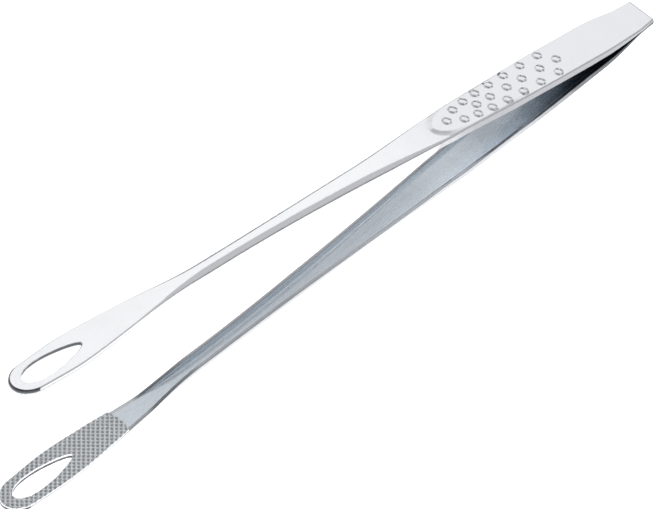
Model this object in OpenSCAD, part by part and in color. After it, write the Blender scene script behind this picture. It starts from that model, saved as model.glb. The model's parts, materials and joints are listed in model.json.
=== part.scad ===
// Print tongs: two pressed steel blades welded together at the heel.
// Each arm is described by its height above the middle plane of the tongs, which
// runs from the heel along +X. The lower arm mirrors the upper one in that plane.
// At rest the tongs stand open on their lower blade: +X to the tips, +Z up, and
// the origin is under the middle of the whole object.

/* [Overall] */
// Length from the heel to the tips
arm_len = 238; // [225:1:255]
// Thickness of the blade sheet
sheet_t = 1.0; // [0.8:0.1:1.2]
// Play left at the bend line where a blade flexes
flex_gap = 0.3; // [0.2:0.05:0.4]

/* [Blade shape] */
// Length of the flat pad at the heel
pad_len = 5; // [4:0.5:6]
// Slope of the blade just after the heel pad
heel_slope = 0.185; // [0.17:0.005:0.2]
// Slope of the straight grip
grip_slope = 0.125; // [0.12:0.001:0.13]
// Slope of the straight tip
tip_slope = 0.045; // [0.03:0.005:0.06]
// Half-width of the blade at the grip
grip_half = 6.1; // [5.6:0.1:6.4]
// Half-width of the blade at the neck
neck_half = 2.8; // [2.6:0.1:3.2]
// Half-width of the spoon-shaped tip
tip_half = 5.8; // [5.4:0.1:6]
// Depth of the side flanges along the neck
flange_neck = 3.2; // [2.4:0.1:3.4]
// Depth of the side flanges along the grip
flange_grip = 2.2; // [1.8:0.1:2.3]
// Outer radius between the face and the flanges at the neck
corner_r = 2.4; // [2:0.1:2.6]
// Outer radius between the face and the edges at the grip and the tip
edge_r = 0.5; // [0.4:0.05:0.6]
// How far the neck lies below the grip face
neck_drop = 0.4; // [0.3:0.05:0.5]

/* [Grip bumps] */
// Diameter of each bump
bump_d = 3.2; // [2.6:0.1:3.4]
// Height of each bump above the grip face
bump_h = 0.3; // [0.2:0.05:0.4]

/* [Tip slot] */
// Heel end of the slot, counted back from the tip
slot_back = 25.2; // [23:0.2:27]
// Tip end of the slot, counted back from the tip
slot_front = 3.8; // [3.4:0.2:4.6]
// Half-width of the slot before it is skewed towards the tip
slot_half = 3.0; // [2.6:0.1:3.2]

/* [Jaw plates] */
// Thickness of a knurled jaw plate
jaw_t = 0.8; // [0.6:0.1:1]
// Heel end of the jaw plate, counted back from the tip
jaw_back = 42.8; // [41:0.2:45]

/* [Hidden] */

// The bend line where each blade flexes, just past the heel pad
flex_x = pad_len + 2;

// Where the blade bends: [x, half-length of the bend]
bend_a = [pad_len + 1, 1];
bend_b = [15, 4];
bend_c = [arm_len - 88, 45];

// Lengths counted back from the tip: the rounded nose, the widening of the spoon, and the
// flat tip that has no flanges
nose_len = 6.4;
nose_x = arm_len - nose_len;
spoon_back = [66, 16];
flat_back = 41;

// Rise after a soft bend of half-length w at x0: 0 before it, x - x0 after it
function ramp(x, x0, w) =
    x <= x0 - w ? 0 : x >= x0 + w ? x - x0 : pow(x - x0 + w, 2) / (4 * w);
// Height of the outer face above the middle plane
function face_h(x) = sheet_t
    + heel_slope * ramp(x, bend_a[0], bend_a[1])
    - (heel_slope - grip_slope) * ramp(x, bend_b[0], bend_b[1])
    - (grip_slope - tip_slope) * ramp(x, bend_c[0], bend_c[1]);

function mix(a, b, t) = a + (b - a) * t;
// Smooth step from 0 at a to 1 at b
function smooth(a, b, x) =
    let (t = min(1, max(0, (x - a) / (b - a)))) t * t * (3 - 2 * t);

// Half-width of the blade: heel, grip, neck, spoon, then a rounded nose. The spoon narrows
// a little over its last stretch.
heel_half = 4.4;
grip_x = 20;
neck_x = [35, 160];
taper_back = 22;
taper = 0.15;
function body_half(x) = x < grip_x ? mix(heel_half, grip_half, smooth(-6, grip_x, x))
    : x < neck_x[1] - 5 ? mix(grip_half, neck_half, pow(smooth(neck_x[0], neck_x[1], x), 0.9))
    : mix(neck_half, tip_half, smooth(arm_len - spoon_back[0], arm_len - spoon_back[1], x))
        * (1 - taper * smooth(arm_len - taper_back, arm_len, x));
function nose_share(x) = x <= nose_x ? 1
    : pow(max(0, 1 - pow((x - nose_x) / nose_len, 2)), 0.5);
function half_w(x) = body_half(x) * nose_share(x);

// Depth of the flanges; the tip is a flat sheet. Near the heel they stop short of the
// middle plane, so the arms can close.
function flange(x) = max(sheet_t + 0.05, min(face_h(x) - 0.12 - 0.09 * (x - flex_x),
    mix(flange_grip, flange_neck, smooth(85, 135, x)) * (1 - smooth(168, arm_len - flat_back, x))));

// How far a point lies outside the tongue-shaped end of the grip plateau: 0 on the plateau,
// 1 past the slope round it. The distance is counted square to the tongue's outline.
tongue_x = 68;
tongue_end = 80;
tongue_half = 4.6;
skirt_w = 1.8;
function tongue_out(x, y) =
    let (len_t = tongue_end - tongue_x, a = max(0, x - tongue_x) / len_t, b = y / tongue_half,
         n = norm([a, b]), g = norm([a / len_t, b / tongue_half]))
    g < 1e-9 ? -1 : (n - 1) * n / g;
function past_tongue(x, y) =
    min(1, max(0, tongue_out(x, y) / skirt_w)) * smooth(tongue_x - 24, tongue_x - 12, x);
function face_at(x, y) = face_h(x) - neck_drop * past_tongue(x, y);
// The inner face is counted from here: it follows the drop, with no edge round the tongue
function back_at(x) = face_h(x) - neck_drop * smooth(tongue_x - 8, tongue_end + 8, x);

// Outside corner radius: tight at the grip and the tip, wide at the neck
function corner(x) = min(flange(x) - 0.05, half_w(x) * 0.9,
    mix(mix(edge_r, corner_r, smooth(70, 110, x)), edge_r, smooth(165, arm_len - flat_back, x)));

// One line of a cross-section, as far inside the outer face as inset says:
// down one flange, round the corner, across the face, and the same again mirrored
top_n = 8;
arc_n = 3;
min_r = 0.02;
function half_line(b, r, inset, f) = concat([[b, -f], [b, -inset - r - 0.01]],
    [for (i = [1 : arc_n]) let (a = 90 * i / (arc_n + 1))
        [b - r + r * cos(a), -inset - r + r * sin(a)]]);
function line_pts(x, inset) =
    let (r = max(min_r, corner(x) - inset), b = half_w(x) - min(inset, half_w(x) * 0.4),
         side = half_line(b, r, inset, flange(x)), n = len(side))
    concat(side, [for (i = [0 : top_n]) [(b - r) * (1 - 2 * i / top_n), -inset]],
        [for (i = [n - 1 : -1 : 0]) [-side[i][0], side[i][1]]]);

// The same points placed in space with the outer face down
function ring_pts(x) =
    let (outer = line_pts(x, 0), inner = line_pts(x, sheet_t), n = len(outer))
    [for (p = outer) [x, p[0], -face_at(x, p[0]) - p[1]],
     for (i = [n - 1 : -1 : 0]) [x, inner[i][0], -back_at(x) - inner[i][1]]];

// Closed skin through rings of equal size
module skin(rings) {
    n = len(rings[0]);
    m = len(rings);
    pts = [for (r = rings) each r];
    sides = [for (i = [0 : m - 2], j = [0 : n - 1])
        let (a = i * n + j, b = i * n + (j + 1) % n)
        [a, b, b + n, a + n]];
    half = n / 2;
    // Each end cap is a row of quads between the outer and inner lines
    caps = [for (j = [0 : half - 2]) each [
        [j, n - 1 - j, n - 2 - j, j + 1],
        [(m - 1) * n + j, (m - 1) * n + j + 1, m * n - 2 - j, m * n - 1 - j]]];
    polyhedron(pts, convexity = 8,
        faces = [for (f = concat(sides, caps)) each [[f[0], f[1], f[2]], [f[0], f[2], f[3]]]]);
}

module blade_sheet() {
    // Stations, closer together where the shape changes
    xs = concat([flex_x + flex_gap / 2],
        [for (x = [9 : 2 : 19]) x], [for (x = [22 : 6 : 40]) x], [for (x = [44 : 3 : 62]) x],
        [for (x = [64 : 1.5 : 83.5]) x], [for (x = [88 : 6 : 190]) x],
        [for (x = [194 : 2 : nose_x - 0.5]) x],
        [for (i = [0 : 8]) nose_x + nose_len * sin(i * 10.6)]);
    mirror([0, 0, 1]) skin([for (x = xs) ring_pts(x)]);
}

// The heel leaf: the flat pad and the first of the bend, with the blade's own width
module leaf_sheet() {
    x1 = flex_x - flex_gap / 2;
    side = [[0, face_h(0)], [pad_len, face_h(pad_len)], [x1, face_h(x1)],
            [x1, face_h(x1) - sheet_t], [pad_len, 0], [0, 0]];
    plan = [[0, half_w(0)], [x1, half_w(x1)], [x1, -half_w(x1)], [0, -half_w(0)]];
    intersection() {
        rotate([90, 0, 0]) linear_extrude(4 * grip_half, center = true) polygon(side);
        linear_extrude(4 * sheet_t) polygon(plan);
    }
}

// Egg-shaped slot outline, wider towards the tip
slot_x0 = arm_len - slot_back;
slot_x1 = arm_len - slot_front;
slot_skew = 0.7;
module slot_outline() {
    polygon([for (a = [0 : 9 : 351]) let (u = (1 - cos(a)) / 2)
        [mix(slot_x0, slot_x1, u), slot_half * sin(a) * (1 + slot_skew * (u - 0.5))]]);
}

// Rows of bumps: mirrored pairs [x, y], and single ones on the centre line
bump_pairs = [[36.5, 4.0], [43.3, 3.95], [49.8, 3.85], [55.8, 3.6],
              [61.3, 3.35], [66.3, 2.9], [70.9, 2.2]];
bump_mids = [33.3, 39.7, 46.6, 52.4, 58.8, 64, 75.4];
module bump() {
    cap_r = (pow(bump_d / 2, 2) + pow(bump_h, 2)) / (2 * bump_h);
    translate([0, 0, bump_h - cap_r]) intersection() {
        sphere(cap_r, $fn = 24);
        translate([0, 0, cap_r - bump_h - 0.2]) cylinder(h = 1, d = bump_d * 1.2, $fn = 24);
    }
}
module on_grip(x, y) {
    translate([x, y, face_h(x)]) rotate([0, -atan(grip_slope), 0]) children();
}
module bumps() {
    for (p = bump_pairs, s = [-1, 1]) on_grip(p[0], s * p[1]) bump();
    for (x = bump_mids) on_grip(x, 0) bump();
}

// The flat tip: a frame whose floor is the inner face of the blade
tip_at = arm_len - jaw_back - 0.5;
module on_tip() {
    translate([tip_at, 0, face_at(tip_at, 0) - sheet_t]) rotate([0, -atan(tip_slope), 0])
        translate([-tip_at, 0, 0]) children();
}

// Outline of a jaw plate: the blade's own outline behind a curved rear edge
rear_bow = 0.7;
module jaw_outline() {
    jaw_x = arm_len - jaw_back;
    jaw_xs = concat([for (x = [jaw_x + 2 : 2 : nose_x]) x],
        [for (i = [1 : 9]) nose_x + nose_len * sin(i * 9.6)]);
    rear_half = half_w(jaw_x + 2) - 0.1;
    rear = [for (i = [1 : 5]) let (v = 1 - i / 3)
        [jaw_x + rear_bow * v * v, v * rear_half]];
    difference() {
        polygon(concat([for (x = jaw_xs) [x, -half_w(x) + 0.02]],
            [for (i = [len(jaw_xs) - 1 : -1 : 0]) [jaw_xs[i], half_w(jaw_xs[i]) - 0.02]],
            rear));
        slot_outline();
    }
}

// Weld nuggets: short discs, half of each one in either sheet
nugget_r = 1.0;
nugget_t = 0.6;
jaw_weld_spots = [[arm_len - 36, -1.8], [arm_len - 36, 1.8], [arm_len - 29, 0]];
heel_weld_spots = [[2.6, -2.2], [2.6, 2.2]];
module nuggets(spots, grow = 0) {
    for (p = spots) translate([p[0], p[1], 0])
        cylinder(h = nugget_t + grow, r = nugget_r, center = true, $fn = 32);
}

// The pieces of one arm, drawn for the upper arm
module blade() {
    color("gainsboro") difference() {
        union() {
            blade_sheet();
            bumps();
        }
        on_tip() {
            translate([0, 0, -4]) linear_extrude(8) slot_outline();
            nuggets(jaw_weld_spots);
            // Flat seat for the jaw plate
            translate([arm_len - jaw_back, -2 * tip_half, -2])
                cube([2 * jaw_back, 4 * tip_half, 2]);
        }
    }
}
module jaw_plate() {
    color("darkgray") on_tip() difference() {
        translate([0, 0, -jaw_t]) linear_extrude(jaw_t) jaw_outline();
        nuggets(jaw_weld_spots);
    }
}
module jaw_welds() { color("gray") on_tip() nuggets(jaw_weld_spots); }
module heel_leaf() {
    color("gainsboro") difference() {
        leaf_sheet();
        nuggets(heel_weld_spots);
    }
}

// Standing pose: the tongs rest on the front bumps and the belly of the lower neck
neck_arc_r = 2 * bend_c[1] / (grip_slope - tip_slope);
to_belly = bend_c[0] - bend_c[1] - max(bump_mids);
belly = -to_belly + sqrt(pow(to_belly, 2) + 2 * neck_arc_r * (neck_drop + bump_h));
stand_pitch = atan(grip_slope) - atan(belly / neck_arc_r);
module stand() {
    low_x = bend_c[0] - bend_c[1] + belly;
    low_z = neck_drop - face_h(low_x);
    // Height of that belly point once the tongs are pitched up about the heel
    drop = low_x * sin(stand_pitch) + low_z * cos(stand_pitch);
    // The reach along X of the lower tip and of the heel's upper edge
    front = arm_len * cos(stand_pitch) + face_at(arm_len, 0) * sin(stand_pitch);
    back = -face_h(0) * sin(stand_pitch);
    translate([-(front + back) / 2, 0, -drop]) rotate([0, -stand_pitch, 0]) children();
}

// The lower arm mirrors the upper one
module upper() { stand() children(); }
module lower() { stand() scale([1, 1, -1]) children(); }

module upper_heel_leaf() { upper() heel_leaf(); }
module lower_heel_leaf() { lower() heel_leaf(); }
module heel_welds() { color("gray") upper() nuggets(heel_weld_spots); }
module upper_blade() { upper() blade(); }
module upper_jaw_plate() { upper() jaw_plate(); }
module upper_jaw_welds() { upper() jaw_welds(); }
module lower_blade() { lower() blade(); }
module lower_jaw_plate() { lower() jaw_plate(); }
module lower_jaw_welds() { lower() jaw_welds(); }

upper_heel_leaf();
lower_heel_leaf();
heel_welds();
upper_blade();
upper_jaw_plate();
upper_jaw_welds();
lower_blade();
lower_jaw_plate();
lower_jaw_welds();
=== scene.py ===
"""Print tongs: two sprung steel blades joined at the heel, with knurled jaw plates.

The blades are drawn in the middle frame of the tongs, in millimetres: x from the heel to
the tips, y across, z away from the middle plane. middle_frame() places it in the row frame.
"""
import json
import math

import bmesh
import bpy
import numpy as np
from mathutils import Matrix, Vector


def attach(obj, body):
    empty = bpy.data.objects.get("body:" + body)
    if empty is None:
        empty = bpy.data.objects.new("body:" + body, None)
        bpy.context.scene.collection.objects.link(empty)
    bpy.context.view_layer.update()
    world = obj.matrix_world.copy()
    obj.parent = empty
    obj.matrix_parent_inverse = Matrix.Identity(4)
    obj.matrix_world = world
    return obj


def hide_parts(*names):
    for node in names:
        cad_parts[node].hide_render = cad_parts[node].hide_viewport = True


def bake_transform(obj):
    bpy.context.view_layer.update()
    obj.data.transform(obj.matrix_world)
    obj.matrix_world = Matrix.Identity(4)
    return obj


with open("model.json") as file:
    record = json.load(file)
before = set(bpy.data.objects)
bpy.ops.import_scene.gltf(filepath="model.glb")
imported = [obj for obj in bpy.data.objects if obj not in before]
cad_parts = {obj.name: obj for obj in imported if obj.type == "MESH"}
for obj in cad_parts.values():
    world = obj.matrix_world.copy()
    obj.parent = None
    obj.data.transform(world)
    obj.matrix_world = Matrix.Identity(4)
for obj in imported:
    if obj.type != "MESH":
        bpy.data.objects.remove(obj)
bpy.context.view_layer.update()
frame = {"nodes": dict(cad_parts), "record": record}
MM = 0.001

# Driving sizes of the design, in millimetres
ARM_LEN = 238.0
SHEET_T = 1.0
PAD_LEN = 5.0
FLEX_X = PAD_LEN + 2
HEEL_SLOPE, GRIP_SLOPE, TIP_SLOPE = 0.185, 0.125, 0.045
HEEL_HALF, GRIP_HALF, NECK_HALF, TIP_HALF = 4.4, 6.1, 2.8, 5.8
FLANGE_GRIP, FLANGE_NECK = 2.2, 3.2
CORNER_GRIP, CORNER_NECK, CORNER_TIP = 0.5, 2.4, 0.5
NECK_DROP = 0.4
BUMP_D, BUMP_H = 3.2, 0.3
SLOT_BACK, SLOT_FRONT, SLOT_HALF, SLOT_SKEW = 25.2, 3.8, 3.0, 0.7
JAW_T, JAW_BACK, JAW_BOW = 0.8, 42.8, 0.7

# Rows of bumps on the grip: mirrored pairs [x, y], and single ones on the centre line
BUMP_PAIRS = [(36.5, 4.0), (43.3, 3.95), (49.8, 3.85), (55.8, 3.6),
              (61.3, 3.35), (66.3, 2.9), (70.9, 2.2)]
BUMP_MIDS = [33.3, 39.7, 46.6, 52.4, 58.8, 64.0, 75.4]

# Knurl of the jaw plates: pitch and depth of its pits, and a pit's radius over the pitch
KNURL_PITCH = 1.23
KNURL_DEPTH = 0.25
PIT_SHARE = 0.40
# Points across half of a jaw plate
N_KNURL = 34
# Length over which the bow of a jaw plate's rear edge fades out
BOW_FADE = 10.0

# Places along the arm: where the grip starts, the neck narrows, the spoon widens, the spoon
# tapers, the tip goes flat and the nose turns round
GRIP_X = 20.0
NECK_X0, NECK_X1 = 35.0, 160.0
SPOON_X0, SPOON_X1 = ARM_LEN - 66, ARM_LEN - 16
TAPER_X, TAPER = ARM_LEN - 22, 0.15
FLAT_X = ARM_LEN - 41
NOSE_LEN = 6.4
NOSE_X = ARM_LEN - NOSE_LEN
SLOT_X0, SLOT_X1 = ARM_LEN - SLOT_BACK, ARM_LEN - SLOT_FRONT
JAW_X = ARM_LEN - JAW_BACK
TONGUE_X, TONGUE_END, TONGUE_HALF, SKIRT_W = 68.0, 80.0, 4.6, 1.8


def mix(a, b, t):
    return a + (b - a) * t


def smooth(a, b, x):
    t = np.clip((x - a) / (b - a), 0, 1)
    return t * t * (3 - 2 * t)


def soft_ramp(t):
    """A straight rise from 0 to 1 with slightly softened ends."""
    t = np.clip(t, 0, 1)
    return 0.9 * t + 0.1 * (t * t * (3 - 2 * t))


def ramp(x, x0, w):
    """Rise after a soft bend of half-length w at x0."""
    inside = (np.clip(x, x0 - w, x0 + w) - x0 + w) ** 2 / (4 * w)
    return inside + np.maximum(0, x - x0 - w)


def face_h(x):
    """Height of the outer face above the middle plane, before the neck's drop."""
    return (SHEET_T + HEEL_SLOPE * ramp(x, PAD_LEN + 1, 1)
            - (HEEL_SLOPE - GRIP_SLOPE) * ramp(x, 15, 4)
            - (GRIP_SLOPE - TIP_SLOPE) * ramp(x, ARM_LEN - 88, 45))


def body_half(x):
    """Half-width of the blade, before the round of the nose."""
    heel = mix(HEEL_HALF, GRIP_HALF, smooth(-6, GRIP_X, x))
    neck = mix(GRIP_HALF, NECK_HALF, smooth(NECK_X0, NECK_X1, x) ** 0.9)
    spoon = mix(NECK_HALF, TIP_HALF, smooth(SPOON_X0, SPOON_X1, x))
    spoon = spoon * (1 - TAPER * smooth(TAPER_X, ARM_LEN, x))
    return np.where(x < GRIP_X, heel, np.where(x < NECK_X1 - 5, neck, spoon))


def flange(x):
    """Depth of the flanges below the outer face; near the heel they clear the middle plane."""
    wide = mix(FLANGE_GRIP, FLANGE_NECK, smooth(85, 135, x))
    wide = wide * (1 - smooth(168, FLAT_X, x))
    return np.maximum(SHEET_T, np.minimum(face_h(x) - 0.12 - 0.09 * (x - FLEX_X), wide))


def past_tongue(x, y):
    """0 on the grip plateau, 1 past the skirt round its tongue-shaped end. The distance is
    counted square to the tongue's outline."""
    length = TONGUE_END - TONGUE_X
    a, b = np.maximum(0, x - TONGUE_X) / length, y / TONGUE_HALF
    n = np.hypot(a, b)
    out = (n - 1) * n / np.maximum(np.hypot(a / length, b / TONGUE_HALF), 1e-6)
    return soft_ramp(out / SKIRT_W) * smooth(TONGUE_X - 24, TONGUE_X - 12, x)


def bumps(x, y):
    """Height of the round bumps on the grip."""
    z = np.zeros_like(x)
    spots = [(a, s * b) for a, b in BUMP_PAIRS for s in (-1, 1)] + [(a, 0) for a in BUMP_MIDS]
    for a, b in spots:
        rho2 = ((x - a) ** 2 + (y - b) ** 2) / (BUMP_D / 2) ** 2
        z += BUMP_H * np.clip(1 - rho2, 0, 1) ** 1.3
    return z


def outer_z(x, y):
    """Height of the outer face, with its tongue and bumps."""
    return face_h(x) - NECK_DROP * past_tongue(x, y) + bumps(x, y)


def inner_z(x):
    """Height the inner face is counted from; it has no bumps and no edge round the tongue."""
    return face_h(x) - NECK_DROP * smooth(TONGUE_X - 8, TONGUE_END + 8, x)


def slot_point(a):
    """A point of the slot's outline; a runs from 0 at its heel end to pi at its tip end."""
    u = (1 - np.cos(a)) / 2
    return mix(SLOT_X0, SLOT_X1, u), SLOT_HALF * np.sin(a) * (1 + SLOT_SKEW * (u - 0.5))


SLOT_LINE = np.stack(slot_point(np.linspace(0, 2 * np.pi, 721)), -1)


def slot_distance(x, y):
    """Distance from points to the slot's outline; it is worked out only near the slot, in
    batches, and is a large number elsewhere."""
    out = np.full(x.shape, 99.0)
    near = x > SLOT_X0 - 2
    p = np.stack([x[near], y[near]], -1)
    batch = 4000
    out[near] = np.concatenate([
        np.sqrt(((p[i:i + batch, None] - SLOT_LINE[None]) ** 2).sum(-1)).min(1)
        for i in range(0, len(p), batch)])
    return out


def middle_frame():
    """Matrix from the middle frame, in millimetres, to the row frame, in metres."""
    joints = {j["name"]: Vector(j["pos_m"]) for j in frame["record"]["behaviour"]["joints"]}
    mounts = {m["name"]: Vector(m["pos_m"]) for m in frame["record"]["mounts"]}
    hinge = (joints["upper_flex"] + joints["lower_flex"]) / 2
    hang = (mounts["upper_hang_slot"] + mounts["lower_hang_slot"]) / 2
    along = (hang - hinge).normalized()
    across = Vector((0, 1, 0))
    away = along.cross(across)
    origin = hinge - along * FLEX_X * MM
    turn = Matrix((along, across, away)).transposed().to_4x4()
    return Matrix.Translation(origin) @ turn @ Matrix.Scale(MM, 4)


TO_ROW = middle_frame()


def place(points, low):
    """Middle-frame points, in millimetres, as row-frame points; low mirrors them to the lower arm."""
    p = np.array(points, float)
    if low:
        p[:, 2] *= -1
    m = np.array(TO_ROW)
    return p @ m[:3, :3].T + m[:3, 3]


def half_lines(xs_body, n_slot, n_nose):
    """Station lines of half an arm: where each one starts on the centre line or the slot,
    where it meets the blade's edge, and how many start on the centre line. The last n_nose
    lines fan out round the nose."""
    centre = [(x, 0.0) for x in xs_body]
    edge = [(x, float(body_half(np.array(x)))) for x in xs_body]
    share = (NOSE_X - SLOT_X0) / (SLOT_X1 - SLOT_X0)
    turn = math.acos(1 - 2 * share)
    for a in np.linspace(0, turn, n_slot):
        sx, sy = slot_point(a)
        centre.append((sx, sy))
        edge.append((sx, float(body_half(np.array(sx)))))
    for t in np.linspace(0, 1, n_nose + 1)[1:]:
        sx, sy = slot_point(mix(turn, np.pi, t))
        centre.append((sx, max(sy, 0.0)))
        phi = t * np.pi / 2
        ex = NOSE_X + NOSE_LEN * math.sin(phi)
        edge.append((ex, float(body_half(np.array(ex))) * max(0.0, math.cos(phi))))
    return np.array(centre), np.array(edge), len(xs_body)


def grid_faces(rows, cols, start=0):
    """Quads of a grid of points stored row by row."""
    i = np.arange(rows - 1)[:, None] * cols + np.arange(cols - 1)[None] + start
    return np.stack([i, i + 1, i + cols + 1, i + cols], -1).reshape(-1, 4)


def make_mesh(name, points, faces, slots):
    """A welded mesh with its normals out. slots gives each face's material number."""
    mesh = bpy.data.meshes.new(name)
    mesh.from_pydata([tuple(p) for p in points], [], [tuple(f) for f in faces])
    mesh.polygons.foreach_set("material_index", slots)
    bm = bmesh.new()
    bm.from_mesh(mesh)
    bmesh.ops.remove_doubles(bm, verts=bm.verts, dist=2e-7)
    bmesh.ops.dissolve_degenerate(bm, edges=bm.edges, dist=1e-8)
    bmesh.ops.recalc_face_normals(bm, faces=bm.faces)
    for f in bm.faces:
        f.smooth = True
    bm.to_mesh(mesh)
    bm.free()
    obj = bpy.data.objects.new(name, mesh)
    bpy.context.scene.collection.objects.link(obj)
    return obj


# Radius of the small rounding along every cut edge
RIM_R = 0.18
# Points across half of the outer face and of the inner face, round the corner, round the
# rim, and down the flange's and the slot's walls
N_TOP, N_IN = 42, 9
N_CORNER, N_RIM, N_WALL = 9, 4, 5
# Points of the outer line, from the centre to the rim
N_OUTER = N_TOP + (N_CORNER - 1) + (N_WALL - 1) + (N_RIM - 1)
# Material numbers of a blade
OUTSIDE, INSIDE, EDGE, FLANGE = range(4)


def section(edge_x, reach):
    """Outer and inner lines of half a section: distances in from the edge, and depths below
    the outer face. The outer line runs from the centre out and the inner one back to it.
    reach is the station line's length."""
    f = float(flange(np.array(edge_x)))
    wall = max(0.0, f - SHEET_T)
    r = mix(CORNER_GRIP, CORNER_NECK, float(smooth(70, 110, edge_x)))
    r = mix(r, CORNER_TIP, float(smooth(165, FLAT_X, edge_x)))
    r = min(r, f - RIM_R, reach * 0.9)
    rim_in = min(RIM_R, 0.45 * wall)
    r_in = min(max(r - SHEET_T, 0.3), 0.5 * wall)
    t = min(SHEET_T, reach * 0.8)
    quarter = np.linspace(0, np.pi / 2, N_CORNER)
    small = np.linspace(0, np.pi / 2, N_RIM)
    down = np.linspace(0, 1, N_WALL)[1:]
    outer = [(mix(reach, r, v), 0.0) for v in np.linspace(0, 1, N_TOP)]
    outer += [(r - r * math.sin(a), -r + r * math.cos(a)) for a in quarter[1:]]
    outer += [(0.0, mix(-r, -f + RIM_R, v)) for v in down]
    outer += [(RIM_R - RIM_R * math.cos(a), -f + RIM_R - RIM_R * math.sin(a)) for a in small[1:]]
    inner = [(t - rim_in + rim_in * math.sin(a), -f + rim_in - rim_in * math.cos(a)) for a in small]
    inner += [(t, mix(-f + rim_in, -SHEET_T - r_in, v)) for v in down]
    inner += [(t + r_in - r_in * math.cos(a), -SHEET_T - r_in + r_in * math.sin(a))
              for a in quarter[1:]]
    inner += [(mix(t + r_in, reach, v), -SHEET_T) for v in np.linspace(0, 1, N_IN)[1:]]
    return outer, inner


def rim_drop(dist, radius):
    """How far a surface falls away in the rounding of an edge at that distance."""
    d = np.clip(radius - dist, 0, radius)
    return radius - np.sqrt(radius ** 2 - d ** 2)


def blade_stations():
    """Station lines' places from the heel to the slot, close together at the bumps."""
    xs = [0.0, 0.1] + list(np.arange(0.8, 31, 0.8)) + list(np.arange(31.4, 82, 0.22))
    xs += list(np.arange(82.6, 190, 1.3)) + list(np.arange(190.4, SLOT_X0 - 0.5, 0.7))
    return xs + [SLOT_X0 - d for d in (0.35, 0.2, 0.1, 0.04)]


def slot_wall(half, cols, rows):
    """Points and faces of the slot's wall, from each row's last point to its first."""
    ends = [(half[k * cols + cols - 1], half[k * cols]) for k in rows]
    points = np.array([[mix(a, b, v) for v in np.linspace(0, 1, N_WALL)] for a, b in ends])
    return points.reshape(-1, 3), list(grid_faces(len(ends), N_WALL, len(half)))


def blade_mesh(name, low):
    """One blade, pressed from a single sheet, from heel to nose. Half of it is drawn, on the
    +Y side, and mirrored."""
    centre, edge, n_body = half_lines(blade_stations(), 40, 26)
    lines = []
    for c, e in zip(centre, edge):
        reach = float(np.hypot(*(c - e)))
        outer, inner = section(e[0], reach)
        way = (c - e) / reach
        rows = []
        for k, line in enumerate((outer, inner)):
            for d, depth in line:
                x, y = e + way * d
                rows.append((x, y, depth, k))
        lines.append(rows)
    grid = np.array(lines)
    n, cols = grid.shape[:2]
    x, y, depth, kind = (grid[..., i].ravel() for i in range(4))
    z = np.where(kind == 0, outer_z(x, y), inner_z(x)) + depth
    # Rounded rim of the slot on both faces, and a small bevel on the cut heel end
    drop = rim_drop(slot_distance(x, y), RIM_R)
    bevel = 0.1 * (x < 0.05)
    z += np.where(kind == 0, -1, 1) * (drop + bevel)
    half = np.stack([x, y, z], -1)
    faces = list(grid_faces(n, cols))
    # Materials across a row: the outer face and half its corner, then the rest of the corner
    # with the flange and its rim, then the inner face
    column = np.tile(np.arange(cols - 1), n - 1)
    row = np.repeat(np.arange(n - 1), cols - 1)
    past_rim = N_OUTER + N_RIM - 1
    slots = np.where(column < past_rim, FLANGE, INSIDE)
    slots = np.where(column < N_TOP + N_CORNER // 2, OUTSIDE, slots)
    # The edge round the nose takes the near-black edge steel, painted shade
    at_nose = (edge[row, 0] > NOSE_X + 0.8) & (column > N_TOP) & (column < past_rim)
    slots = list(np.where(at_nose, EDGE, slots))
    wall, wall_faces = slot_wall(half, cols, range(n_body, n))
    # Cut end at the heel, between the outer line and the inner one
    end_faces = [[j, j + 1, cols - 2 - j, cols - 1 - j] for j in range(N_OUTER - 1)]
    faces = np.array(faces + wall_faces + end_faces)
    # The slot's wall and the heel's cut end take the near-black edge steel too, painted shade
    slots += [EDGE] * (len(faces) - len(slots))
    half = np.concatenate([half, wall])
    both = np.concatenate([half, half * (1, -1, 1)])
    all_faces = np.concatenate([faces, faces[:, ::-1] + len(half)])
    return make_mesh(name, place(both, low), all_faces, slots + slots)


def knurl(x, y):
    """Depth of the knurl: round pits in a square grid turned by 45 degrees."""
    u, v = (x + y) / math.sqrt(2), (x - y) / math.sqrt(2)
    u = (u / KNURL_PITCH + 0.5) % 1 - 0.5
    v = (v / KNURL_PITCH + 0.5) % 1 - 0.5
    rho2 = (u * u + v * v) / PIT_SHARE ** 2
    return KNURL_DEPTH * np.clip(1 - rho2, 0, 1)


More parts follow.
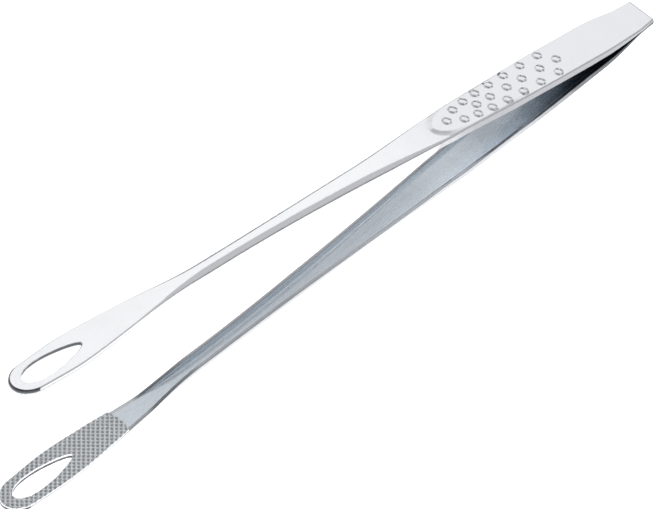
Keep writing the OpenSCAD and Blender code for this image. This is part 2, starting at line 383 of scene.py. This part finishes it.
def jaw_mesh(name, low):
    """One knurled jaw plate, with the blade's outline and slot. Its rear edge is bowed, and
    the bow fades out over BOW_FADE."""
    xs = list(np.arange(JAW_X, SLOT_X0, 0.2))
    centre, edge, n_body = half_lines(xs, 100, 60)
    lines = []
    for c, e in zip(centre, edge):
        reach = float(np.hypot(*(c - e)))
        way = (c - e) / reach
        bow = JAW_BOW * max(0.0, 1 - (c[0] - JAW_X) / BOW_FADE)
        # Knurled side from the centre to the edge, then the side wall, then the flat back
        spots = [(reach * (1 - v), -JAW_T, 1.0) for v in np.linspace(0, 1, N_KNURL)]
        spots += [(0.0, -JAW_T * 0.4, 0.0), (0.0, 0.0, 0.0)]
        spots += [(reach * (1 - v), 0.0, 0.0) for v in np.linspace(1, 0, N_KNURL)[1:]]
        row = []
        for d, depth, cut in spots:
            x, y = e + way * d
            row.append((x + bow * (1 - d / reach) ** 2, y, depth, cut))
        lines.append(row)
    grid = np.array(lines)
    n, cols = grid.shape[:2]
    x, y, depth, cut = (grid[..., i].ravel() for i in range(4))
    z = face_h(x) - NECK_DROP - SHEET_T + depth + cut * knurl(x, y)
    half = np.stack([x, y, z], -1)
    faces = list(grid_faces(n, cols))
    # A face with two or more deep corners takes the pits' darker steel, painted shade in the recesses
    deep = np.where(cut * knurl(x, y) > 0.35 * KNURL_DEPTH, 1, 0)
    slots = [1 if deep[f].sum() >= 2 else 0 for f in faces]
    wall, wall_faces = slot_wall(half, cols, range(n_body, n))
    faces += wall_faces
    # Rear edge, from the knurled side to the back, over the same points across
    faces += [[j, cols - 1 - j, cols - 2 - j, j + 1] for j in range(N_KNURL - 1)]
    faces.append([N_KNURL - 1, cols - N_KNURL, N_KNURL])
    slots += [0] * (len(faces) - len(slots))
    half = np.concatenate([half, wall])
    both = np.concatenate([half, half * (1, -1, 1)])
    faces = [[int(i) for i in f] for f in faces]
    faces += [[i + len(half) for i in reversed(f)] for f in faces]
    return make_mesh(name, place(both, low), faces, slots + slots)


def new_material(name):
    mat = bpy.data.materials.new(name)
    mat.use_nodes = True
    nodes = mat.node_tree.nodes
    return mat, nodes, mat.node_tree.links, nodes["Principled BSDF"]


def node(nodes, kind, **inputs):
    """A shader node with its input sockets set by name."""
    n = nodes.new(kind)
    for key, value in inputs.items():
        n.inputs[key.replace("_", " ")].default_value = value
    return n


def steel(name, light, dark, rough, grain, brush, bump):
    """Satin steel: fine brushing along the blade over soft cloudy variation. The colour lies
    between light and dark, rough is the roughness, grain the clouds' number per metre, brush
    how much the brushing varies the roughness, and bump the brushing's depth in metres."""
    mat, nodes, links, shader = new_material(name)
    where = nodes.new("ShaderNodeTexCoord")
    stretch = node(nodes, "ShaderNodeMapping", Scale=(90, 5200, 5200))
    links.new(where.outputs["Object"], stretch.inputs["Vector"])
    lines = node(nodes, "ShaderNodeTexNoise", Scale=1.0, Detail=3.0, Roughness=0.6)
    links.new(stretch.outputs["Vector"], lines.inputs["Vector"])
    cloud = node(nodes, "ShaderNodeTexNoise", Scale=grain, Detail=4.0, Roughness=0.55)
    links.new(where.outputs["Object"], cloud.inputs["Vector"])

    colour = nodes.new("ShaderNodeMix")
    colour.data_type = "RGBA"
    colour.inputs["A"].default_value = (*dark, 1)
    colour.inputs["B"].default_value = (*light, 1)
    links.new(cloud.outputs["Fac"], colour.inputs["Factor"])
    links.new(colour.outputs["Result"], shader.inputs["Base Color"])

    spread = node(nodes, "ShaderNodeMapRange", From_Min=0.3, From_Max=0.7,
                  To_Min=rough - brush, To_Max=rough + brush)
    links.new(lines.outputs["Fac"], spread.inputs["Value"])
    uneven = node(nodes, "ShaderNodeMapRange", From_Min=0.3, From_Max=0.7,
                  To_Min=-0.04, To_Max=0.04)
    links.new(cloud.outputs["Fac"], uneven.inputs["Value"])
    total = nodes.new("ShaderNodeMath")
    total.operation = "ADD"
    links.new(spread.outputs["Result"], total.inputs[0])
    links.new(uneven.outputs["Result"], total.inputs[1])
    links.new(total.outputs["Value"], shader.inputs["Roughness"])

    relief = node(nodes, "ShaderNodeBump", Strength=1.0, Distance=bump)
    links.new(lines.outputs["Fac"], relief.inputs["Height"])
    links.new(relief.outputs["Normal"], shader.inputs["Normal"])
    shader.inputs["Metallic"].default_value = 1.0
    shader.inputs["Anisotropic"].default_value = 0.3
    return mat


def paint_shade_to_heel(mat, at_heel, start, end, past=(1, 1, 1)):
    """Painted shade and dark reflection towards the heel, where the arms close in: the steel's colour
    is multiplied by at_heel up to start and by past beyond end, in blotches between. start and end
    are metres along the row's X."""
    nodes, links = mat.node_tree.nodes, mat.node_tree.links
    shader = nodes["Principled BSDF"]
    colour = shader.inputs["Base Color"].links[0].from_socket
    where = nodes.new("ShaderNodeTexCoord")
    split = nodes.new("ShaderNodeSeparateXYZ")
    links.new(where.outputs["Object"], split.inputs["Vector"])
    blot = node(nodes, "ShaderNodeTexNoise", Scale=260.0, Detail=4.0, Roughness=0.6)
    links.new(where.outputs["Object"], blot.inputs["Vector"])
    shift = nodes.new("ShaderNodeMath")
    shift.operation = "MULTIPLY_ADD"
    links.new(blot.outputs["Fac"], shift.inputs[0])
    shift.inputs[1].default_value = 0.022
    links.new(split.outputs["X"], shift.inputs[2])
    tint = nodes.new("ShaderNodeValToRGB")
    tint.color_ramp.interpolation = "EASE"
    tint.color_ramp.elements[0].color = (*at_heel, 1)
    tint.color_ramp.elements[1].color = (*past, 1)
    span = node(nodes, "ShaderNodeMapRange", From_Min=start, From_Max=end)
    links.new(shift.outputs["Value"], span.inputs["Value"])
    links.new(span.outputs["Result"], tint.inputs["Fac"])
    both = nodes.new("ShaderNodeMix")
    both.data_type = "RGBA"
    both.blend_type = "MULTIPLY"
    both.inputs["Factor"].default_value = 1.0
    links.new(colour, both.inputs["A"])
    links.new(tint.outputs["Color"], both.inputs["B"])
    links.new(both.outputs["Result"], shader.inputs["Base Color"])
    return mat


FLOOR_GLOW = 1.0


def floor_material():
    """Pale matt floor, faintly mottled."""
    mat, nodes, links, shader = new_material("pale_floor")
    where = nodes.new("ShaderNodeTexCoord")
    fine = node(nodes, "ShaderNodeTexNoise", Scale=60.0, Detail=3.0)
    links.new(where.outputs["Object"], fine.inputs["Vector"])
    colour = nodes.new("ShaderNodeMix")
    colour.data_type = "RGBA"
    colour.inputs["A"].default_value = (0.86, 0.86, 0.86, 1)
    colour.inputs["B"].default_value = (0.88, 0.88, 0.88, 1)
    links.new(fine.outputs["Fac"], colour.inputs["Factor"])
    links.new(colour.outputs["Result"], shader.inputs["Base Color"])
    shader.inputs["Roughness"].default_value = 0.9
    shader.inputs["Specular IOR Level"].default_value = 0.1
    # A light table: the floor glows a little, so shadows on it stay faint
    shader.inputs["Emission Color"].default_value = (1, 1, 1, 1)
    shader.inputs["Emission Strength"].default_value = FLOOR_GLOW
    return mat


def area_light(name, direction, distance, size, power, colour=(1, 1, 1)):
    """A soft light that far from the object in that direction, aimed at it."""
    data = bpy.data.lights.new(name, "AREA")
    data.shape = "RECTANGLE"
    data.size, data.size_y = size
    data.energy = power
    data.color = colour
    obj = bpy.data.objects.new(name, data)
    way = Vector(direction).normalized()
    obj.location = way * distance
    obj.rotation_mode = "QUATERNION"
    obj.rotation_quaternion = way.to_track_quat("Z", "Y")
    bpy.context.scene.collection.objects.link(obj)
    return obj


def add_floor():
    mesh = bpy.data.meshes.new("studio_floor")
    half = 4.0
    mesh.from_pydata([(-half, -half, 0), (half, -half, 0), (half, half, 0), (-half, half, 0)],
                     [], [(0, 1, 2, 3)])
    mesh.materials.append(floor_material())
    obj = bpy.data.objects.new("studio_floor", mesh)
    bpy.context.scene.collection.objects.link(obj)


def add_lights():
    """Cards for the steel to mirror towards the camera, and two weak lights from above."""
    area_light("back_card", (-0.76, -0.44, 0.50), 1.5, (1.0, 1.0), 2.8)
    area_light("top_card", (-0.50, -0.46, 0.95), 1.5, (0.9, 0.4), 0.4)
    area_light("left_card", (-0.10, -0.90, 0.35), 1.5, (1.0, 0.8), 1.0)
    area_light("right_card", (-0.62, 0.42, 0.52), 1.5, (1.8, 1.2), 3.0)
    area_light("key_light", (0.6, -0.7, 0.8), 2.5, (1.8, 1.8), 12)
    area_light("fill_light", (0.2, 0.9, 1.0), 2.5, (1.8, 1.8), 8)
    world = bpy.data.worlds.new("studio")
    world.use_nodes = True
    world.node_tree.nodes["Background"].inputs["Color"].default_value = (0.10, 0.11, 0.12, 1)
    world.node_tree.nodes["Background"].inputs["Strength"].default_value = 1.0
    bpy.context.scene.world = world


# Camera: its direction from the object, its turn about the view, and its framing
CAM_AZ, CAM_EL, CAM_ROLL = 135.28, 50.44, -0.83
CAM_DISTANCE = 5.0
PX_PER_MM = 3.803
IMAGE_W = 657
SENSOR_W = 36.0
# The place this far along the arms sits this far right of and above the picture's centre, in mm
AIM_X = 120
AIM_RIGHT, AIM_UP = -0.67, 6.60


def add_camera():
    """A long lens at the photo's viewing angle, framed so that a millimetre across the view
    covers PX_PER_MM of an image IMAGE_W wide."""
    az, el, roll = map(math.radians, (CAM_AZ, CAM_EL, CAM_ROLL))
    back = Vector((math.sin(az) * math.cos(el), -math.cos(az) * math.cos(el), math.sin(el)))
    level = Vector((math.cos(az), math.sin(az), 0))
    rise = back.cross(level)
    right = level * math.cos(roll) + rise * math.sin(roll)
    up = back.cross(right)
    middle = TO_ROW @ Vector((AIM_X, 0, 0))
    aim = middle - (right * AIM_RIGHT + up * AIM_UP) * MM
    data = bpy.data.cameras.new("camera")
    data.sensor_width = SENSOR_W
    data.lens = PX_PER_MM / MM * SENSOR_W * CAM_DISTANCE / IMAGE_W
    data.clip_start, data.clip_end = 0.5, 20
    cam = bpy.data.objects.new("camera", data)
    pose = Matrix((right, up, back)).transposed().to_4x4()
    cam.matrix_world = Matrix.Translation(aim + back * CAM_DISTANCE) @ pose
    bpy.context.scene.collection.objects.link(cam)
    bpy.context.scene.camera = cam


def paint(obj, *materials):
    """Give a piece these materials. Clearing the old ones resets its faces' material numbers,
    so a new mesh, which has none, isn't cleared."""
    if len(obj.data.materials):
        obj.data.materials.clear()
    for m in materials:
        obj.data.materials.append(m)


def add_arm(side, low, outside, inside, edge, shaded_flange_steel, jaw, pits):
    """One arm: the blade from heel to nose, drawn in place of the blade and heel leaf, and the jaw
    plate that rides on the arm.
    """
    blade = blade_mesh(f"{side}_blade_strip", low)
    paint(blade, outside, inside, edge, shaded_flange_steel)
    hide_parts(f"{side}_blade", f"{side}_heel_leaf")
    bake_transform(blade)
    plate = jaw_mesh(f"{side}_knurled_jaw", low)
    paint(plate, jaw, pits)
    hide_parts(f"{side}_jaw_plate")
    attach(plate, f"{side}_arm")


add_camera()
add_floor()
add_lights()
outside = steel("satin_outside", (0.97, 0.97, 0.98), (0.92, 0.92, 0.93), 0.20, 60.0, 0.04, 2e-6)
# Painted shade on the outer face towards the heel
paint_shade_to_heel(outside, (0.88, 0.88, 0.89), -0.045, 0.0)
# Inner faces: a darker, bluer copy of the same steel, painted reflection, and near black towards the
# heel, painted shade between the arms. Only the rougher brushing is the steel's own.
inside = steel("brushed_inside_painted_reflection", (0.88, 0.93, 0.98), (0.75, 0.81, 0.87), 0.25, 45.0, 0.07, 4e-6)
paint_shade_to_heel(inside, (0.17, 0.20, 0.23), -0.098, -0.030)
# Upper flanges: a darker copy of the outer steel, painted shade, darker still towards the heel
upper_flange_shade = steel("upper_flanges_painted_shade", (0.90, 0.90, 0.91), (0.84, 0.84, 0.85), 0.20, 60.0, 0.04, 2e-6)
paint_shade_to_heel(upper_flange_shade, (0.48, 0.48, 0.50), -0.042, -0.012)
# Lower flanges: painted shade, near black towards the heel and two thirds as light beyond
lower_flange_shade = steel("lower_flanges_painted_shade", (0.90, 0.90, 0.91), (0.84, 0.84, 0.85), 0.20, 60.0, 0.04, 2e-6)
paint_shade_to_heel(lower_flange_shade, (0.10, 0.11, 0.12), -0.095, -0.050, (0.66, 0.67, 0.68))
# Near-black steel for the nose's rim, the slot's walls and the heel's cut end: painted shade
edge = steel("cut_edge_painted_shade", (0.16, 0.16, 0.17), (0.09, 0.09, 0.10), 0.40, 500.0, 0.05, 2e-6)
jaw = steel("knurled_steel", (0.97, 0.98, 0.98), (0.86, 0.88, 0.89), 0.36, 300.0, 0.05, 2e-6)
# Darker steel for the knurl's pits: painted shade in the recesses
pits = steel("knurl_pits_painted_shade", (0.62, 0.63, 0.65), (0.48, 0.49, 0.51), 0.5, 300.0, 0.05, 2e-6)
weld = steel("weld_steel", (0.5, 0.5, 0.52), (0.4, 0.4, 0.42), 0.5, 900.0, 0.05, 2e-6)
add_arm("upper", False, outside, inside, edge, upper_flange_shade, jaw, pits)
add_arm("lower", True, outside, inside, edge, lower_flange_shade, jaw, pits)
for name in ("heel_welds", "upper_jaw_welds", "lower_jaw_welds"):
    paint(frame["nodes"][name], weld)

bpy.context.scene.view_settings.view_transform = "Standard"
